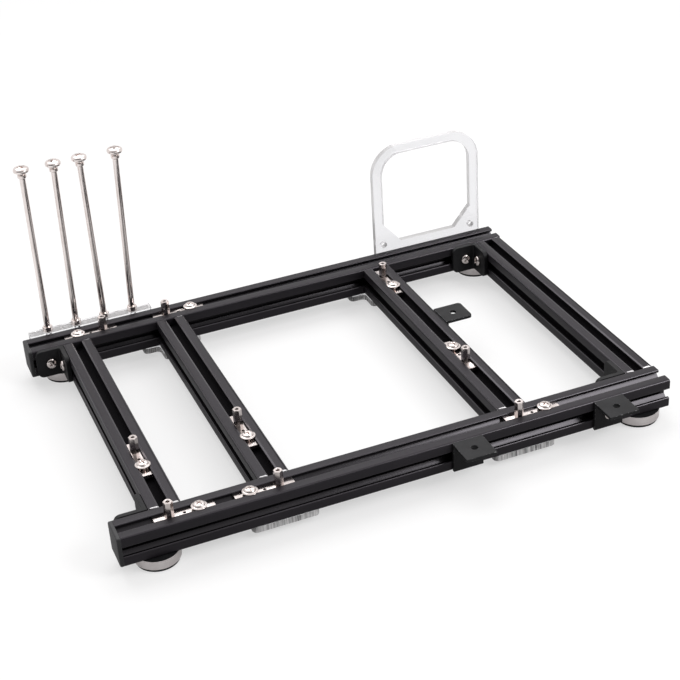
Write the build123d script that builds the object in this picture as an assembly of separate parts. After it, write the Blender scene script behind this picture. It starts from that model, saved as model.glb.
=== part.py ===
"""Open air test bench: a low frame of slotted square bars that carries a main board, its cards and a fan.

Two rails run along X and four cross members along Y. They are joined by corner brackets and by clear
joint plates underneath, and stand on four round feet. Standoffs rise from bars that slide in the slots.
Sizes are millimetres, with Z up. The model is laid out from the outer left end of the front rail, with
the undersides of the rails at Z = 0, and is moved to the middle of its base when it is written.
"""

import os
from math import sqrt

from build123d import *

# Frame
FRAME_LENGTH = 360.0            # along X, end caps included
RAIL_SPACING = 227.33           # front to back between the middles of the rails
BOARD_COLUMN_SPACING = 157.48   # between the two cross members under the main board
FIRST_MEMBER_X = 34.0           # middle of the left cross member
SECOND_MEMBER_X = 101.0
LAST_MEMBER_INSET = 0.5         # right cross member, in from the rails' right ends

# Slotted section shared by rails and cross members
PROFILE = 20.0
PROFILE_CORNER = 1.5
SLOT_MOUTH = 6.2
MOUTH_CHAMFER = 0.5
LIP = 1.8
SLOT_INSIDE = 11.0              # width behind the lips
CORE = 7.8                      # square left round the bore
WEB = 1.55                      # thickness of the diagonal webs
BORE = 4.2

# Fits
THREAD_CLEARANCE = 0.05         # on the radius, between a shank and what it is screwed into
HOLE_CLEARANCE = 0.25           # on the radius, between a shank and a plain hole
SLOT_CLEARANCE = 0.3            # each side of a bar behind the lips

# Screws that hold the frame together
SCREW_RADIUS = 2.0

# End caps
CAP_THICKNESS = 2.5
CAP_EDGE = 0.6
CAP_PEG_LENGTH = 6.0
CAP_PEG_CLEARANCE = 0.1

# Corner brackets
CORNER_LEG = 20.0
CORNER_WALL = 3.0
CORNER_FREE_RADIUS = 4.0
CORNER_INSIDE_RADIUS = 1.5

# Angle brackets
ANGLE_LEG = 20.0
ANGLE_WIDTH = 20.0
ANGLE_WALL = 2.0
ANGLE_FREE_RADIUS = 2.5
ANGLE_HOLE_RADIUS = 2.25
FRONT_ANGLE_X = 218.0           # middle of the bracket near the middle of the front rail
RIGHT_ANGLE_INSET = 45.0        # middle of the one beside it, in from the right end
INNER_ANGLE_Y = 131.5           # middle of the one on the third member, from the front rail's middle

# Feet
FOOT_RADIUS = 14.0
FOOT_HEIGHT = 6.5
FOOT_EDGE = 0.7
FOOT_SINK_RADIUS = 4.2          # countersink for the foot's screw
PAD_RADIUS = 13.0
PAD_INNER_RADIUS = 6.5
PAD_THICKNESS = 1.5
FOOT_INSET_LEFT = 24.0
FOOT_INSET_RIGHT = 17.0

# Slot bars, each with a standoff and a clamp screw
BAR_LENGTH = 37.0
BAR_THICKNESS = 2.4
BAR_FLANK = 1.4                 # straight side of a bar below the lips, above its taper
BAR_END_DISTANCE = 9.5          # standoff hole and screw hole, in from the ends of a bar
BAR_SPARE_HOLE_RADIUS = 1.0
STANDOFF_FLATS = 5.0
STANDOFF_HEIGHT = 11.0
STANDOFF_HOLE_RADIUS = 1.3
STANDOFF_HOLE_DEPTH = 6.0
CLAMP_HEAD_RADIUS = 4.8
CLAMP_HEAD_HEIGHT = 2.3
CLAMP_RIM = 0.7
CLAMP_TOP_RADIUS = 2.6
CLAMP_SHANK_PAST_BAR = 0.6
INNER_ROW_Y = 72.39             # standoffs on the members, from the front rail's middle
THIRD_BACK_ROW_INSET = 22.86    # the third member's other standoff, in from the back rail's middle
NARROW_COLUMN_INSET = 203.2     # back rail's left standoff, left of the third member's middle

# Card rods on their clear strip
ROD_PITCH = 20.32
FIRST_ROD_X = 19.4
ROD_RADIUS = 2.1
ROD_TOP = 144.0                 # above the rails' undersides
ROD_HEAD_RADIUS = 5.6
ROD_HEAD_HEIGHT = 2.6
ROD_HEAD_RIM = 0.8
ROD_HEAD_TOP_RADIUS = 3.0
COLLAR_RADIUS = 3.1
COLLAR_HEIGHT = 3.0
BASE_NUT_FLATS = 6.2
BASE_NUT_HEIGHT = 3.6
STRIP_DEPTH = 8.0
STRIP_HEIGHT = 15.0
STRIP_ABOVE_RAIL = 0.4
STRIP_END = 13.4                # past the first and the last rod
STRIP_EDGE = 0.8

# Clear fan bracket
FAN_HOLE_SPACING = 71.5
FAN_HOLE_RADIUS = 2.2
FAN_PLATE_WIDTH = 85.0
FAN_PLATE_HEIGHT = 102.0
FAN_PLATE_THICKNESS = 4.5
FAN_PLATE_INSET = 50.0          # middle of the plate, in from the rails' right ends
FAN_OUTER_RADIUS = 22.0
FAN_OPENING = 70.0
FAN_OPENING_BOTTOM = 25.5
FAN_OPENING_RADIUS = 16.0
FAN_GUSSET_WIDTH = 13.0
FAN_GUSSET_HEIGHT = 15.0
FAN_SCREW_OFFSET = 25.0         # fixing screws either side of the middle

# Clear joint plates below the two middle members
JOINT_WIDTH = 42.0
JOINT_STEM_WIDTH = 20.0
JOINT_THICKNESS = 4.0
JOINT_EDGE_INSET = 0.7          # from the rail's outer face
JOINT_STRAIGHT = 16.0           # straight sides, in from the rail's outer face
JOINT_REACH = 14.0              # past the rail's inner face
JOINT_CORNER = 3.5
JOINT_SCREW_OFFSET = 14.0       # rail screws either side of the member's middle
JOINT_STEM_SCREW = 7.0          # member screw past the rail's inner face

# Places worked out from the sizes above
HALF = PROFILE / 2
FRONT_Y = HALF
BACK_Y = FRONT_Y + RAIL_SPACING
BACK_FACE_Y = BACK_Y + HALF
THIRD_MEMBER_X = SECOND_MEMBER_X + BOARD_COLUMN_SPACING
LAST_MEMBER_X = FRAME_LENGTH - LAST_MEMBER_INSET - HALF
FAN_X = FRAME_LENGTH - FAN_PLATE_INSET
STRIP_TOP = PROFILE + STRIP_ABOVE_RAIL
ROD_Y = BACK_FACE_Y + STRIP_DEPTH / 2
BAR_WIDTH = SLOT_INSIDE - 2 * SLOT_CLEARANCE
BASE_Z = -(FOOT_HEIGHT + PAD_THICKNESS)
FRONT_MOST_Y = -ANGLE_LEG
BACK_MOST_Y = max(BACK_FACE_Y + STRIP_DEPTH, ROD_Y + ROD_HEAD_RADIUS)
CENTRE = Vector(FRAME_LENGTH / 2, (FRONT_MOST_Y + BACK_MOST_Y) / 2, BASE_Z)

UP = (0, 0, 1)
DOWN = (0, 0, -1)
LEFT = (-1, 0, 0)
RIGHT = (1, 0, 0)
FORWARD = (0, -1, 0)
BACKWARD = (0, 1, 0)


def place(origin, along, outward):
    """A seat on a slotted face: x runs along the slot and z points out of the face."""
    return Plane(origin=origin, x_dir=along, z_dir=outward).location


def write(name, pieces):
    """Moves the pieces of one node to the middle of the base and writes them."""
    solids = [solid for piece in pieces for solid in piece.solids()]
    node = Compound(children=solids) if len(solids) > 1 else solids[0]
    node = Pos(-CENTRE.X, -CENTRE.Y, -CENTRE.Z) * node
    node.label = name
    export_step(node, f"parts/{name}.step")


def mirrored(right_side):
    """A closed outline from the points of its right side, in order, and their mirror images."""
    left_side = [(-x, y) for x, y in reversed(right_side)]
    return Polygon(*right_side, *left_side, align=None)


# Slotted section: four mirrored slots with lips, square core, diagonal webs and a bore


def slotted_section():
    mouth = SLOT_MOUTH / 2
    inside = SLOT_INSIDE / 2
    web_offset = WEB / sqrt(2)
    right_side = [
        (CORE / 2 - web_offset, CORE / 2),
        (inside, inside + web_offset),
        (inside, HALF - LIP),
        (mouth, HALF - LIP),
        (mouth, HALF - MOUTH_CHAMFER),
        (mouth + 2 * MOUTH_CHAMFER, HALF + MOUTH_CHAMFER),
    ]
    slot = mirrored(right_side)
    section = RectangleRounded(PROFILE, PROFILE, PROFILE_CORNER) - Circle(BORE / 2)
    for quarter in range(4):
        section -= Rot(0, 0, 90 * quarter) * slot
    return section


def rail(y):
    seat = Plane(origin=(CAP_THICKNESS, y, HALF), x_dir=BACKWARD, z_dir=RIGHT)
    return extrude(seat * slotted_section(), FRAME_LENGTH - CAP_THICKNESS)


def cross_member(x):
    seat = Plane(origin=(x, PROFILE, HALF), x_dir=RIGHT, z_dir=BACKWARD)
    return extrude(seat * slotted_section(), RAIL_SPACING - PROFILE)


def end_cap(y):
    seat = Plane(origin=(0, y, HALF), x_dir=BACKWARD, z_dir=RIGHT)
    plate = extrude(seat * RectangleRounded(PROFILE, PROFILE, PROFILE_CORNER), CAP_THICKNESS)
    plate = chamfer(plate.faces().sort_by(Axis.X)[0].edges(), CAP_EDGE)
    peg = extrude(seat * Circle(BORE / 2 - CAP_PEG_CLEARANCE), CAP_THICKNESS + CAP_PEG_LENGTH)
    return plate + peg


def screw_hole(depth):
    """A plain hole up from a seat, for a screw into a nut in the slot below it."""
    return extrude(Circle(SCREW_RADIUS + HOLE_CLEARANCE), depth)


# Corner bracket: two upright walls with rounded free corners, in the corner of a rail and a member


def corner_bracket():
    wall_x = Pos(CORNER_LEG / 2, CORNER_WALL / 2, CORNER_LEG / 2) * Box(CORNER_LEG, CORNER_WALL, CORNER_LEG)
    wall_y = Pos(CORNER_WALL / 2, CORNER_LEG / 2, CORNER_LEG / 2) * Box(CORNER_WALL, CORNER_LEG, CORNER_LEG)
    bracket = wall_x + wall_y
    inside = bracket.edges().filter_by(Axis.Z).sort_by_distance((CORNER_WALL, CORNER_WALL, CORNER_LEG / 2))[0]
    bracket = fillet(inside, CORNER_INSIDE_RADIUS)
    bracket = fillet(bracket.edges().filter_by(Axis.Y).group_by(Axis.X)[-1], CORNER_FREE_RADIUS)
    bracket = fillet(bracket.edges().filter_by(Axis.X).group_by(Axis.Y)[-1], CORNER_FREE_RADIUS)
    for seat in corner_seats():
        bracket -= seat * screw_hole(CORNER_WALL)
    return bracket


def corner_seats():
    """The bracket's two screw places: on the rail below its x wall, on the member beside its y wall."""
    middle = CORNER_LEG / 2
    on_rail = place((middle, 0, HALF), RIGHT, BACKWARD)
    on_member = place((0, middle, HALF), BACKWARD, RIGHT)
    return [on_rail, on_member]


def corners():
    """Where each corner bracket stands, by name: its corner, turned to face into the frame."""
    places = {}
    for side, member_x in (("left", FIRST_MEMBER_X), ("right", LAST_MEMBER_X)):
        places[f"front_{side}"] = Pos(member_x - HALF, PROFILE, 0) * Rot(0, 0, 90)
        places[f"back_{side}"] = Pos(member_x - HALF, RAIL_SPACING, 0) * Rot(0, 0, 180)
    return places


# Angle bracket: a wall on the slotted face and a flange that stands out level with the top


def angle_bracket():
    seat = Plane(origin=(-ANGLE_WIDTH / 2, 0, 0), x_dir=BACKWARD, z_dir=RIGHT)
    outline = [
        (HALF, 0),
        (HALF, ANGLE_LEG),
        (HALF - ANGLE_WALL, ANGLE_LEG),
        (HALF - ANGLE_WALL, ANGLE_WALL),
        (HALF - ANGLE_LEG, ANGLE_WALL),
        (HALF - ANGLE_LEG, 0),
    ]
    bracket = extrude(seat * Polygon(*outline, align=None), ANGLE_WIDTH)
    bracket = fillet(bracket.edges().filter_by(Axis.Y).group_by(Axis.Z)[-1], ANGLE_FREE_RADIUS)
    bracket = fillet(bracket.edges().filter_by(Axis.Z).group_by(Axis.Y)[0], ANGLE_FREE_RADIUS)
    flange_hole = Plane(origin=(0, HALF, ANGLE_LEG / 2), x_dir=RIGHT, z_dir=FORWARD)
    bracket -= extrude(flange_hole * Circle(ANGLE_HOLE_RADIUS), ANGLE_WALL)
    return bracket - screw_hole(ANGLE_WALL)


def angle_seats():
    return {
        "front_middle": place((FRONT_ANGLE_X, 0, HALF), RIGHT, FORWARD),
        "front_right": place((FRAME_LENGTH - RIGHT_ANGLE_INSET, 0, HALF), RIGHT, FORWARD),
        "inner": place((THIRD_MEMBER_X + HALF, FRONT_Y + INNER_ANGLE_Y, HALF), BACKWARD, RIGHT),
    }


# Foot: a metal disc, countersunk from below for its screw, on a rubber ring


def foot():
    disc = extrude(Circle(FOOT_RADIUS), FOOT_HEIGHT)
    disc = chamfer(disc.edges().group_by(Axis.Z)[-1], FOOT_EDGE)
    hole_radius = SCREW_RADIUS + HOLE_CLEARANCE
    depth = FOOT_SINK_RADIUS - hole_radius
    sink = Pos(0, 0, FOOT_HEIGHT - depth / 2) * Cone(hole_radius, FOOT_SINK_RADIUS, depth)
    return disc - screw_hole(FOOT_HEIGHT) - sink


def foot_pad():
    ring = extrude(Circle(PAD_RADIUS) - Circle(PAD_INNER_RADIUS), PAD_THICKNESS)
    return Pos(0, 0, FOOT_HEIGHT) * ring


def foot_seats():
    seats = {}
    for row, y in (("front", FRONT_Y), ("back", BACK_Y)):
        for side, x in (("left", FOOT_INSET_LEFT), ("right", FRAME_LENGTH - FOOT_INSET_RIGHT)):
            seats[f"{row}_{side}"] = place((x, y, 0), RIGHT, DOWN)
    return seats


# Slot bar: a flat bar behind the lips, with a standoff at one end and a clamp screw at the other


def slot_bar():
    """A bar whose standoff is over the origin and whose other end lies along x."""
    half_width = BAR_WIDTH / 2
    taper = BAR_THICKNESS - BAR_FLANK
    right_side = [
        (half_width - taper, -LIP - BAR_THICKNESS),
        (half_width, -LIP - BAR_FLANK),
        (half_width, -LIP),
    ]
    across = Plane(origin=(-BAR_END_DISTANCE, 0, 0), x_dir=BACKWARD, z_dir=RIGHT)
    bar = extrude(across * mirrored(right_side), BAR_LENGTH)
    bar -= Pos(BAR_LENGTH / 2 - BAR_END_DISTANCE, 0, 0) * bar_hole(BAR_SPARE_HOLE_RADIUS)
    bar -= Pos(clamp_x(), 0, 0) * bar_hole(SCREW_RADIUS + THREAD_CLEARANCE)
    return bar + standoff()


def bar_hole(radius):
    return Pos(0, 0, -LIP) * extrude(Circle(radius), -BAR_THICKNESS)


def standoff():
    """A hexagonal post on the bar, with a threaded hole in its top."""
    post = extrude(RegularPolygon(STANDOFF_FLATS / 2, 6, major_radius=False), STANDOFF_HEIGHT)
    hole = Pos(0, 0, STANDOFF_HEIGHT) * extrude(Circle(STANDOFF_HOLE_RADIUS), -STANDOFF_HOLE_DEPTH)
    return Pos(0, 0, -LIP) * (post - hole)


def clamp_x():
    return BAR_LENGTH - 2 * BAR_END_DISTANCE


def clamp_screw():
    """A wide low screw whose head bears on both lips and draws the bar up."""
    head = low_head(CLAMP_HEAD_RADIUS, CLAMP_TOP_RADIUS, CLAMP_HEAD_HEIGHT, CLAMP_RIM)
    shank = extrude(Circle(SCREW_RADIUS), -(LIP + BAR_THICKNESS + CLAMP_SHANK_PAST_BAR))
    return Pos(clamp_x(), 0, 0) * (head + shank)


def low_head(radius, top_radius, height, rim):
    """A low round head: an upright rim below a sloping crown."""
    crown_height = height - rim
    crown = Pos(0, 0, rim + crown_height / 2) * Cone(radius, top_radius, crown_height)
    return extrude(Circle(radius), rim) + crown


def bar_seats():
    """Each bar's place by name: over its standoff, turned towards its clamp screw."""
    third_back_y = BACK_Y - THIRD_BACK_ROW_INSET
    inner_y = FRONT_Y + INNER_ROW_Y
    return {
        "front_left": place((FIRST_MEMBER_X, FRONT_Y, PROFILE), RIGHT, UP),
        "front_middle": place((SECOND_MEMBER_X, FRONT_Y, PROFILE), LEFT, UP),
        "front_right": place((THIRD_MEMBER_X, FRONT_Y, PROFILE), RIGHT, UP),
        "back_left": place((THIRD_MEMBER_X - NARROW_COLUMN_INSET, BACK_Y, PROFILE), LEFT, UP),
        "back_middle": place((SECOND_MEMBER_X, BACK_Y, PROFILE), RIGHT, UP),
        "first_member": place((FIRST_MEMBER_X, inner_y, PROFILE), FORWARD, UP),
        "second_member": place((SECOND_MEMBER_X, inner_y, PROFILE), FORWARD, UP),
        "third_member_back": place((THIRD_MEMBER_X, third_back_y, PROFILE), FORWARD, UP),
        "third_member_front": place((THIRD_MEMBER_X, inner_y, PROFILE), BACKWARD, UP),
    }


# Card rods: four long round screws in a clear strip behind the back rail


def rod_xs():
    return [FIRST_ROD_X + number * ROD_PITCH for number in range(4)]


def strip_length():
    return 3 * ROD_PITCH + 2 * STRIP_END


def strip_seats():
    """The strip's two screws, between the first two rods and between the last two."""
    first, second, third, fourth = rod_xs()
    middles = ((first + second) / 2, (third + fourth) / 2)
    return [place((x, BACK_FACE_Y, HALF), RIGHT, BACKWARD) for x in middles]


def rod_strip():
    middle_x = FIRST_ROD_X + 1.5 * ROD_PITCH
    strip = Pos(middle_x, ROD_Y, STRIP_TOP - STRIP_HEIGHT / 2) * Box(strip_length(), STRIP_DEPTH, STRIP_HEIGHT)
    strip = chamfer(strip.edges().filter_by(Axis.Z), STRIP_EDGE)
    for x in rod_xs():
        bore = extrude(Circle(ROD_RADIUS + THREAD_CLEARANCE), STRIP_HEIGHT)
        strip -= Pos(x, ROD_Y, STRIP_TOP - STRIP_HEIGHT) * bore
    for seat in strip_seats():
        strip -= seat * screw_hole(STRIP_DEPTH)
    return strip


def card_rod():
    """A rod from the strip's underside up, with a low head and a collar below it."""
    length = ROD_TOP - ROD_HEAD_HEIGHT - (STRIP_TOP - STRIP_HEIGHT)
    head = low_head(ROD_HEAD_RADIUS, ROD_HEAD_TOP_RADIUS, ROD_HEAD_HEIGHT, ROD_HEAD_RIM)
    collar = extrude(Circle(COLLAR_RADIUS), -COLLAR_HEIGHT)
    shank = extrude(Circle(ROD_RADIUS), -length)
    return Pos(0, 0, ROD_TOP - ROD_HEAD_HEIGHT) * (head + collar + shank)


def base_nut():
    outline = RegularPolygon(BASE_NUT_FLATS / 2, 6, major_radius=False) - Circle(ROD_RADIUS + THREAD_CLEARANCE)
    return Pos(0, 0, STRIP_TOP) * extrude(outline, BASE_NUT_HEIGHT)


# Fan bracket: a clear plate behind the back rail with a rounded opening and two fan holes


def fan_seats():
    offsets = (-FAN_SCREW_OFFSET, FAN_SCREW_OFFSET)
    return [place((FAN_X + offset, BACK_FACE_Y, HALF), RIGHT, BACKWARD) for offset in offsets]


def fan_bracket():
    half_width = FAN_PLATE_WIDTH / 2
    half_opening = FAN_OPENING / 2
    opening_top = FAN_OPENING_BOTTOM + FAN_OPENING
    fan_middle = FAN_OPENING_BOTTOM + FAN_OPENING / 2
    plate = Polygon(
        (-half_width, 0), (half_width, 0), (half_width, FAN_PLATE_HEIGHT), (-half_width, FAN_PLATE_HEIGHT), align=None
    )
    plate = fillet(plate.vertices().group_by(Axis.Y)[-1], FAN_OUTER_RADIUS)
    opening = Polygon(
        (-half_opening + FAN_GUSSET_WIDTH, FAN_OPENING_BOTTOM),
        (half_opening - FAN_GUSSET_WIDTH, FAN_OPENING_BOTTOM),
        (half_opening, FAN_OPENING_BOTTOM + FAN_GUSSET_HEIGHT),
        (half_opening, opening_top),
        (-half_opening, opening_top),
        (-half_opening, FAN_OPENING_BOTTOM + FAN_GUSSET_HEIGHT),
        align=None,
    )
    opening = fillet(opening.vertices().group_by(Axis.Y)[-1], FAN_OPENING_RADIUS)
    outline = plate - opening
    for side in (-1, 1):
        fan_hole = (side * FAN_HOLE_SPACING / 2, fan_middle - FAN_HOLE_SPACING / 2)
        outline -= Pos(*fan_hole) * Circle(FAN_HOLE_RADIUS)
    seat = Plane(origin=(FAN_X, BACK_FACE_Y, 0), x_dir=RIGHT, z_dir=FORWARD)
    bracket = extrude(seat * outline, -FAN_PLATE_THICKNESS)
    for screw_seat in fan_seats():
        bracket -= screw_seat * screw_hole(FAN_PLATE_THICKNESS)
    return bracket


# Joint plate: a clear T-shaped plate under a rail and the end of a member


def joint_plate():
    """A plate below z = 0, with the rail's middle along x and the member running off along y."""
    half_width = JOINT_WIDTH / 2
    half_stem = JOINT_STEM_WIDTH / 2
    outer = -HALF + JOINT_EDGE_INSET
    shoulder = -HALF + JOINT_STRAIGHT
    tip = HALF + JOINT_REACH
    outline = Polygon(
        (-half_width, outer),
        (half_width, outer),
        (half_width, shoulder),
        (half_stem, tip),
        (-half_stem, tip),
        (-half_width, shoulder),
        align=None,
    )
    outline = fillet(outline.vertices(), JOINT_CORNER)
    plate = Pos(0, 0, -JOINT_THICKNESS) * extrude(outline, JOINT_THICKNESS)
    for seat in joint_seats():
        plate -= seat * screw_hole(JOINT_THICKNESS)
    return plate


def joint_seats():
    """Two screws into the rail and one into the member, from below."""
    return [
        place((-JOINT_SCREW_OFFSET, 0, 0), RIGHT, DOWN),
        place((JOINT_SCREW_OFFSET, 0, 0), RIGHT, DOWN),
        place((0, HALF + JOINT_STEM_SCREW, 0), BACKWARD, DOWN),
    ]


def joint_places():
    places = {}
    for name, x in (("second", SECOND_MEMBER_X), ("third", THIRD_MEMBER_X)):
        places[f"{name}_front"] = Pos(x, FRONT_Y, 0)
        places[f"{name}_back"] = Pos(x, BACK_Y, 0) * Rot(0, 0, 180)
    return places


os.makedirs("parts", exist_ok=True)

write("rail_front", [rail(FRONT_Y)])
write("rail_back", [rail(BACK_Y)])
write("end_cap_front", [end_cap(FRONT_Y)])
write("end_cap_back", [end_cap(BACK_Y)])
member_xs = {"first": FIRST_MEMBER_X, "second": SECOND_MEMBER_X, "third": THIRD_MEMBER_X, "fourth": LAST_MEMBER_X}
for name, x in member_xs.items():
    write(f"cross_member_{name}", [cross_member(x)])

for name, corner in corners().items():
    write(f"corner_bracket_{name}", [corner * corner_bracket()])

for name, seat in angle_seats().items():
    write(f"angle_bracket_{name}", [seat * angle_bracket()])

for name, seat in foot_seats().items():
    write(f"foot_{name}", [seat * foot()])
    write(f"foot_pad_{name}", [seat * foot_pad()])

for name, seat in bar_seats().items():
    write(f"slot_bar_{name}", [seat * slot_bar()])
write("clamp_screws", [seat * clamp_screw() for seat in bar_seats().values()])

write("rod_strip", [rod_strip()])
for number, x in enumerate(rod_xs(), start=1):
    write(f"card_rod_{number}", [Pos(x, ROD_Y, 0) * card_rod()])
write("rod_base_nuts", [Pos(x, ROD_Y, 0) * base_nut() for x in rod_xs()])

write("fan_bracket", [fan_bracket()])
for name, corner in joint_places().items():
    write(f"joint_plate_{name}", [corner * joint_plate()])
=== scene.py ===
import math

import bmesh
import bpy
from mathutils import Euler, Matrix, Vector


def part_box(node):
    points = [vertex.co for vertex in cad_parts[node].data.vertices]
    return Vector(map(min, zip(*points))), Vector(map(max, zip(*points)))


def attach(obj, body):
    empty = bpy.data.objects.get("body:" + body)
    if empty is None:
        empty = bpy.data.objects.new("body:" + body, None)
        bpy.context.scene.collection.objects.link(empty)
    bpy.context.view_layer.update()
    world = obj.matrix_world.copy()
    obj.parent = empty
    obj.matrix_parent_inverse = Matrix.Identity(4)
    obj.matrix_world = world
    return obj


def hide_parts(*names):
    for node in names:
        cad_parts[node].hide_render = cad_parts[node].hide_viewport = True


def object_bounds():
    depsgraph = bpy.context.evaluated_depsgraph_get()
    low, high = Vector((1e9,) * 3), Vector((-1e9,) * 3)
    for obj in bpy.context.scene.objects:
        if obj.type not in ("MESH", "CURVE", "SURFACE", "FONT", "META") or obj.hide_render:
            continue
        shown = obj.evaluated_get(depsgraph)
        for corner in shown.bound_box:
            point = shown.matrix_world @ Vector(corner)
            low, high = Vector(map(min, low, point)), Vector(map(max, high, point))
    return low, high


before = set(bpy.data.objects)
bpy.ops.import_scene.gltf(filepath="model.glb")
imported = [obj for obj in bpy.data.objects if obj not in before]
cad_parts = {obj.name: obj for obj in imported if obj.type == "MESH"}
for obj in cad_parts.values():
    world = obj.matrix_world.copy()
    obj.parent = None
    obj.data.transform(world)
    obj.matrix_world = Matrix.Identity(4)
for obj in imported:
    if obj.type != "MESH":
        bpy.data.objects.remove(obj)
cad_low, cad_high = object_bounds()
MM = 0.001

# View: a long lens from the front left, a little turned, with the frame kept high in the picture.
# The picture is square, so the lens and the shifts are for a square of the sensor's width.

CAMERA_PLACE = (-0.2925, -0.7916, 0.5445)
CAMERA_TURN = (59.309, 3.804, -21.734)      # degrees about X, Y and Z, in that order
CAMERA_LENS = 79.843
CAMERA_SENSOR = 36.0
CAMERA_SHIFT = (0.0387, 0.0024)
CAMERA_NEAREST = 10 * MM                    # what is nearer to the lens isn't drawn

camera_data = bpy.data.cameras.new("view")
camera_data.sensor_width = CAMERA_SENSOR
camera_data.lens = CAMERA_LENS
camera_data.shift_x, camera_data.shift_y = CAMERA_SHIFT
camera_data.clip_start = CAMERA_NEAREST
camera = bpy.data.objects.new("view", camera_data)
camera.location = CAMERA_PLACE
camera.rotation_euler = Euler([math.radians(angle) for angle in CAMERA_TURN], "XYZ")
bpy.context.scene.collection.objects.link(camera)
bpy.context.scene.camera = camera
bpy.context.scene.view_settings.view_transform = "Standard"

# Floor and light: a pale table under a white tent that is open, and so dark, on the camera's side.
# A broad lamp hangs over the back, and a smaller one at the front right lights the slots' sloping sides.


class Wire:
    """One output of a node. Arithmetic on wires adds Math nodes."""

    def __init__(self, finish, socket):
        self.finish = finish
        self.socket = socket

    def math(self, operation, *values):
        return self.finish.node("Math", {"operation": operation}, dict(enumerate(values)))

    def __add__(self, other):
        return self.math("ADD", self, other)

    def __radd__(self, other):
        return self.math("ADD", other, self)

    def __sub__(self, other):
        return self.math("SUBTRACT", self, other)

    def __rsub__(self, other):
        return self.math("SUBTRACT", other, self)

    def __mul__(self, other):
        return self.math("MULTIPLY", self, other)

    def __rmul__(self, other):
        return self.math("MULTIPLY", other, self)

    def __abs__(self):
        return self.math("ABSOLUTE", self)

    def larger(self, other):
        return self.math("MAXIMUM", self, other)

    def between(self, low, high, out_low=0.0, out_high=1.0):
        """Eases from out_low to out_high while the value goes from low to high."""
        numbers = {"Value": self, "From Min": low, "From Max": high, "To Min": out_low, "To Max": out_high}
        return self.finish.node("MapRange", {"interpolation_type": "SMOOTHSTEP"}, numbers)


class Finish:
    """A material, or the world, whose nodes are made one call at a time."""

    def __init__(self, name, owner=None):
        self.owner = owner or bpy.data.materials.new(name)
        self.owner.use_nodes = True
        self.tree = self.owner.node_tree
        self.tree.nodes.clear()

    def node(self, kind, settings=None, inputs=None, output=0):
        """Adds a node, sets its settings and then its inputs, and gives one of its outputs."""
        made = self.tree.nodes.new("ShaderNode" + kind)
        for name, value in (settings or {}).items():
            setattr(made, name, value)
        for name, value in (inputs or {}).items():
            if isinstance(value, Wire):
                self.tree.links.new(value.socket, made.inputs[name])
            else:
                made.inputs[name].default_value = value
        return Wire(self, made.outputs[output]) if made.outputs else None

    def axes(self):
        """The three coordinates on the piece itself, in metres."""
        place = self.node("TexCoord", output="Object")
        return place, [self.node("SeparateXYZ", None, {"Vector": place}, axis) for axis in "XYZ"]

    def noise(self, place, scale, detail=2.0, roughness=0.5, stretch=(1, 1, 1)):
        """Cloudy noise from 0 to 1. Its scale is in patches a metre, stretched along an axis if asked."""
        vector = place
        if stretch != (1, 1, 1):
            vector = self.node("Mapping", None, {"Vector": place, "Scale": stretch})
        numbers = {"Vector": vector, "Scale": scale, "Detail": detail, "Roughness": roughness}
        return self.node("TexNoise", None, numbers)

    def blend(self, factor, low, high):
        """A colour between two others."""
        low, high = [colour if isinstance(colour, Wire) else (*colour, 1.0) for colour in (low, high)]
        return self.node("Mix", {"data_type": "RGBA"}, {0: factor, 6: low, 7: high}, 2)

    def bump(self, height, depth, strength=1.0):
        """A relief whose height of 1 stands that many metres proud."""
        return self.node("Bump", None, {"Height": height, "Distance": depth, "Strength": strength})

    def surface(self, **values):
        """The main shader. Underscores stand for the spaces in its sockets' names."""
        inputs = {name.replace("_", " "): value for name, value in values.items()}
        shader = self.node("BsdfPrincipled", None, inputs)
        self.node("OutputMaterial", None, {"Surface": shader})
        return self.owner


FLOOR_SIDE = 12.0
FLOOR_COLOUR = (0.88, 0.88, 0.88, 1.0)
FLOOR_PAINTED_SHADE = (0.16, 0.16, 0.16, 1.0)      # painted shade: what the floor sends back up to matt surfaces, and what mirrors see under the frame
WHITE = (1.0, 1.0, 1.0, 1.0)
SHADE_REACH = (0.035, 0.11)                 # how far out the floor's painted shade in mirrors begins to lift, and is gone
SHADE_MIRRORED = 0.42                       # how bright the floor's painted shade below the frame is in a mirroring surface
FAR_REACH = (0.12, 0.9)                     # how far out the floor begins to turn white, and is white
FAR_WHITE = (0.55, 1.0)                     # how white it is at those two distances

floor_mesh = bpy.data.meshes.new("floor")
half_side = FLOOR_SIDE / 2
floor_corners = [(x * half_side, y * half_side, 0) for x, y in ((-1, -1), (1, -1), (1, 1), (-1, 1))]
floor_mesh.from_pydata(floor_corners, [], [(0, 1, 2, 3)])
floor = bpy.data.objects.new("floor", floor_mesh)
bpy.context.scene.collection.objects.link(floor)

table = Finish("pale_table")
_, (floor_x, floor_y, _) = table.axes()
middle = (cad_low + cad_high) / 2
half = (cad_high - cad_low) / 2
beyond_x = (abs(floor_x - middle.x) - half.x).larger(0.0)
beyond_y = (abs(floor_y - middle.y) - half.y).larger(0.0)
beyond = table.node("Math", {"operation": "SQRT"}, {0: beyond_x * beyond_x + beyond_y * beyond_y})
camera_ray, clear_ray, mirror_ray = [
    table.node("LightPath", output=f"Is {name} Ray") for name in ("Camera", "Transmission", "Glossy")
]
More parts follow.
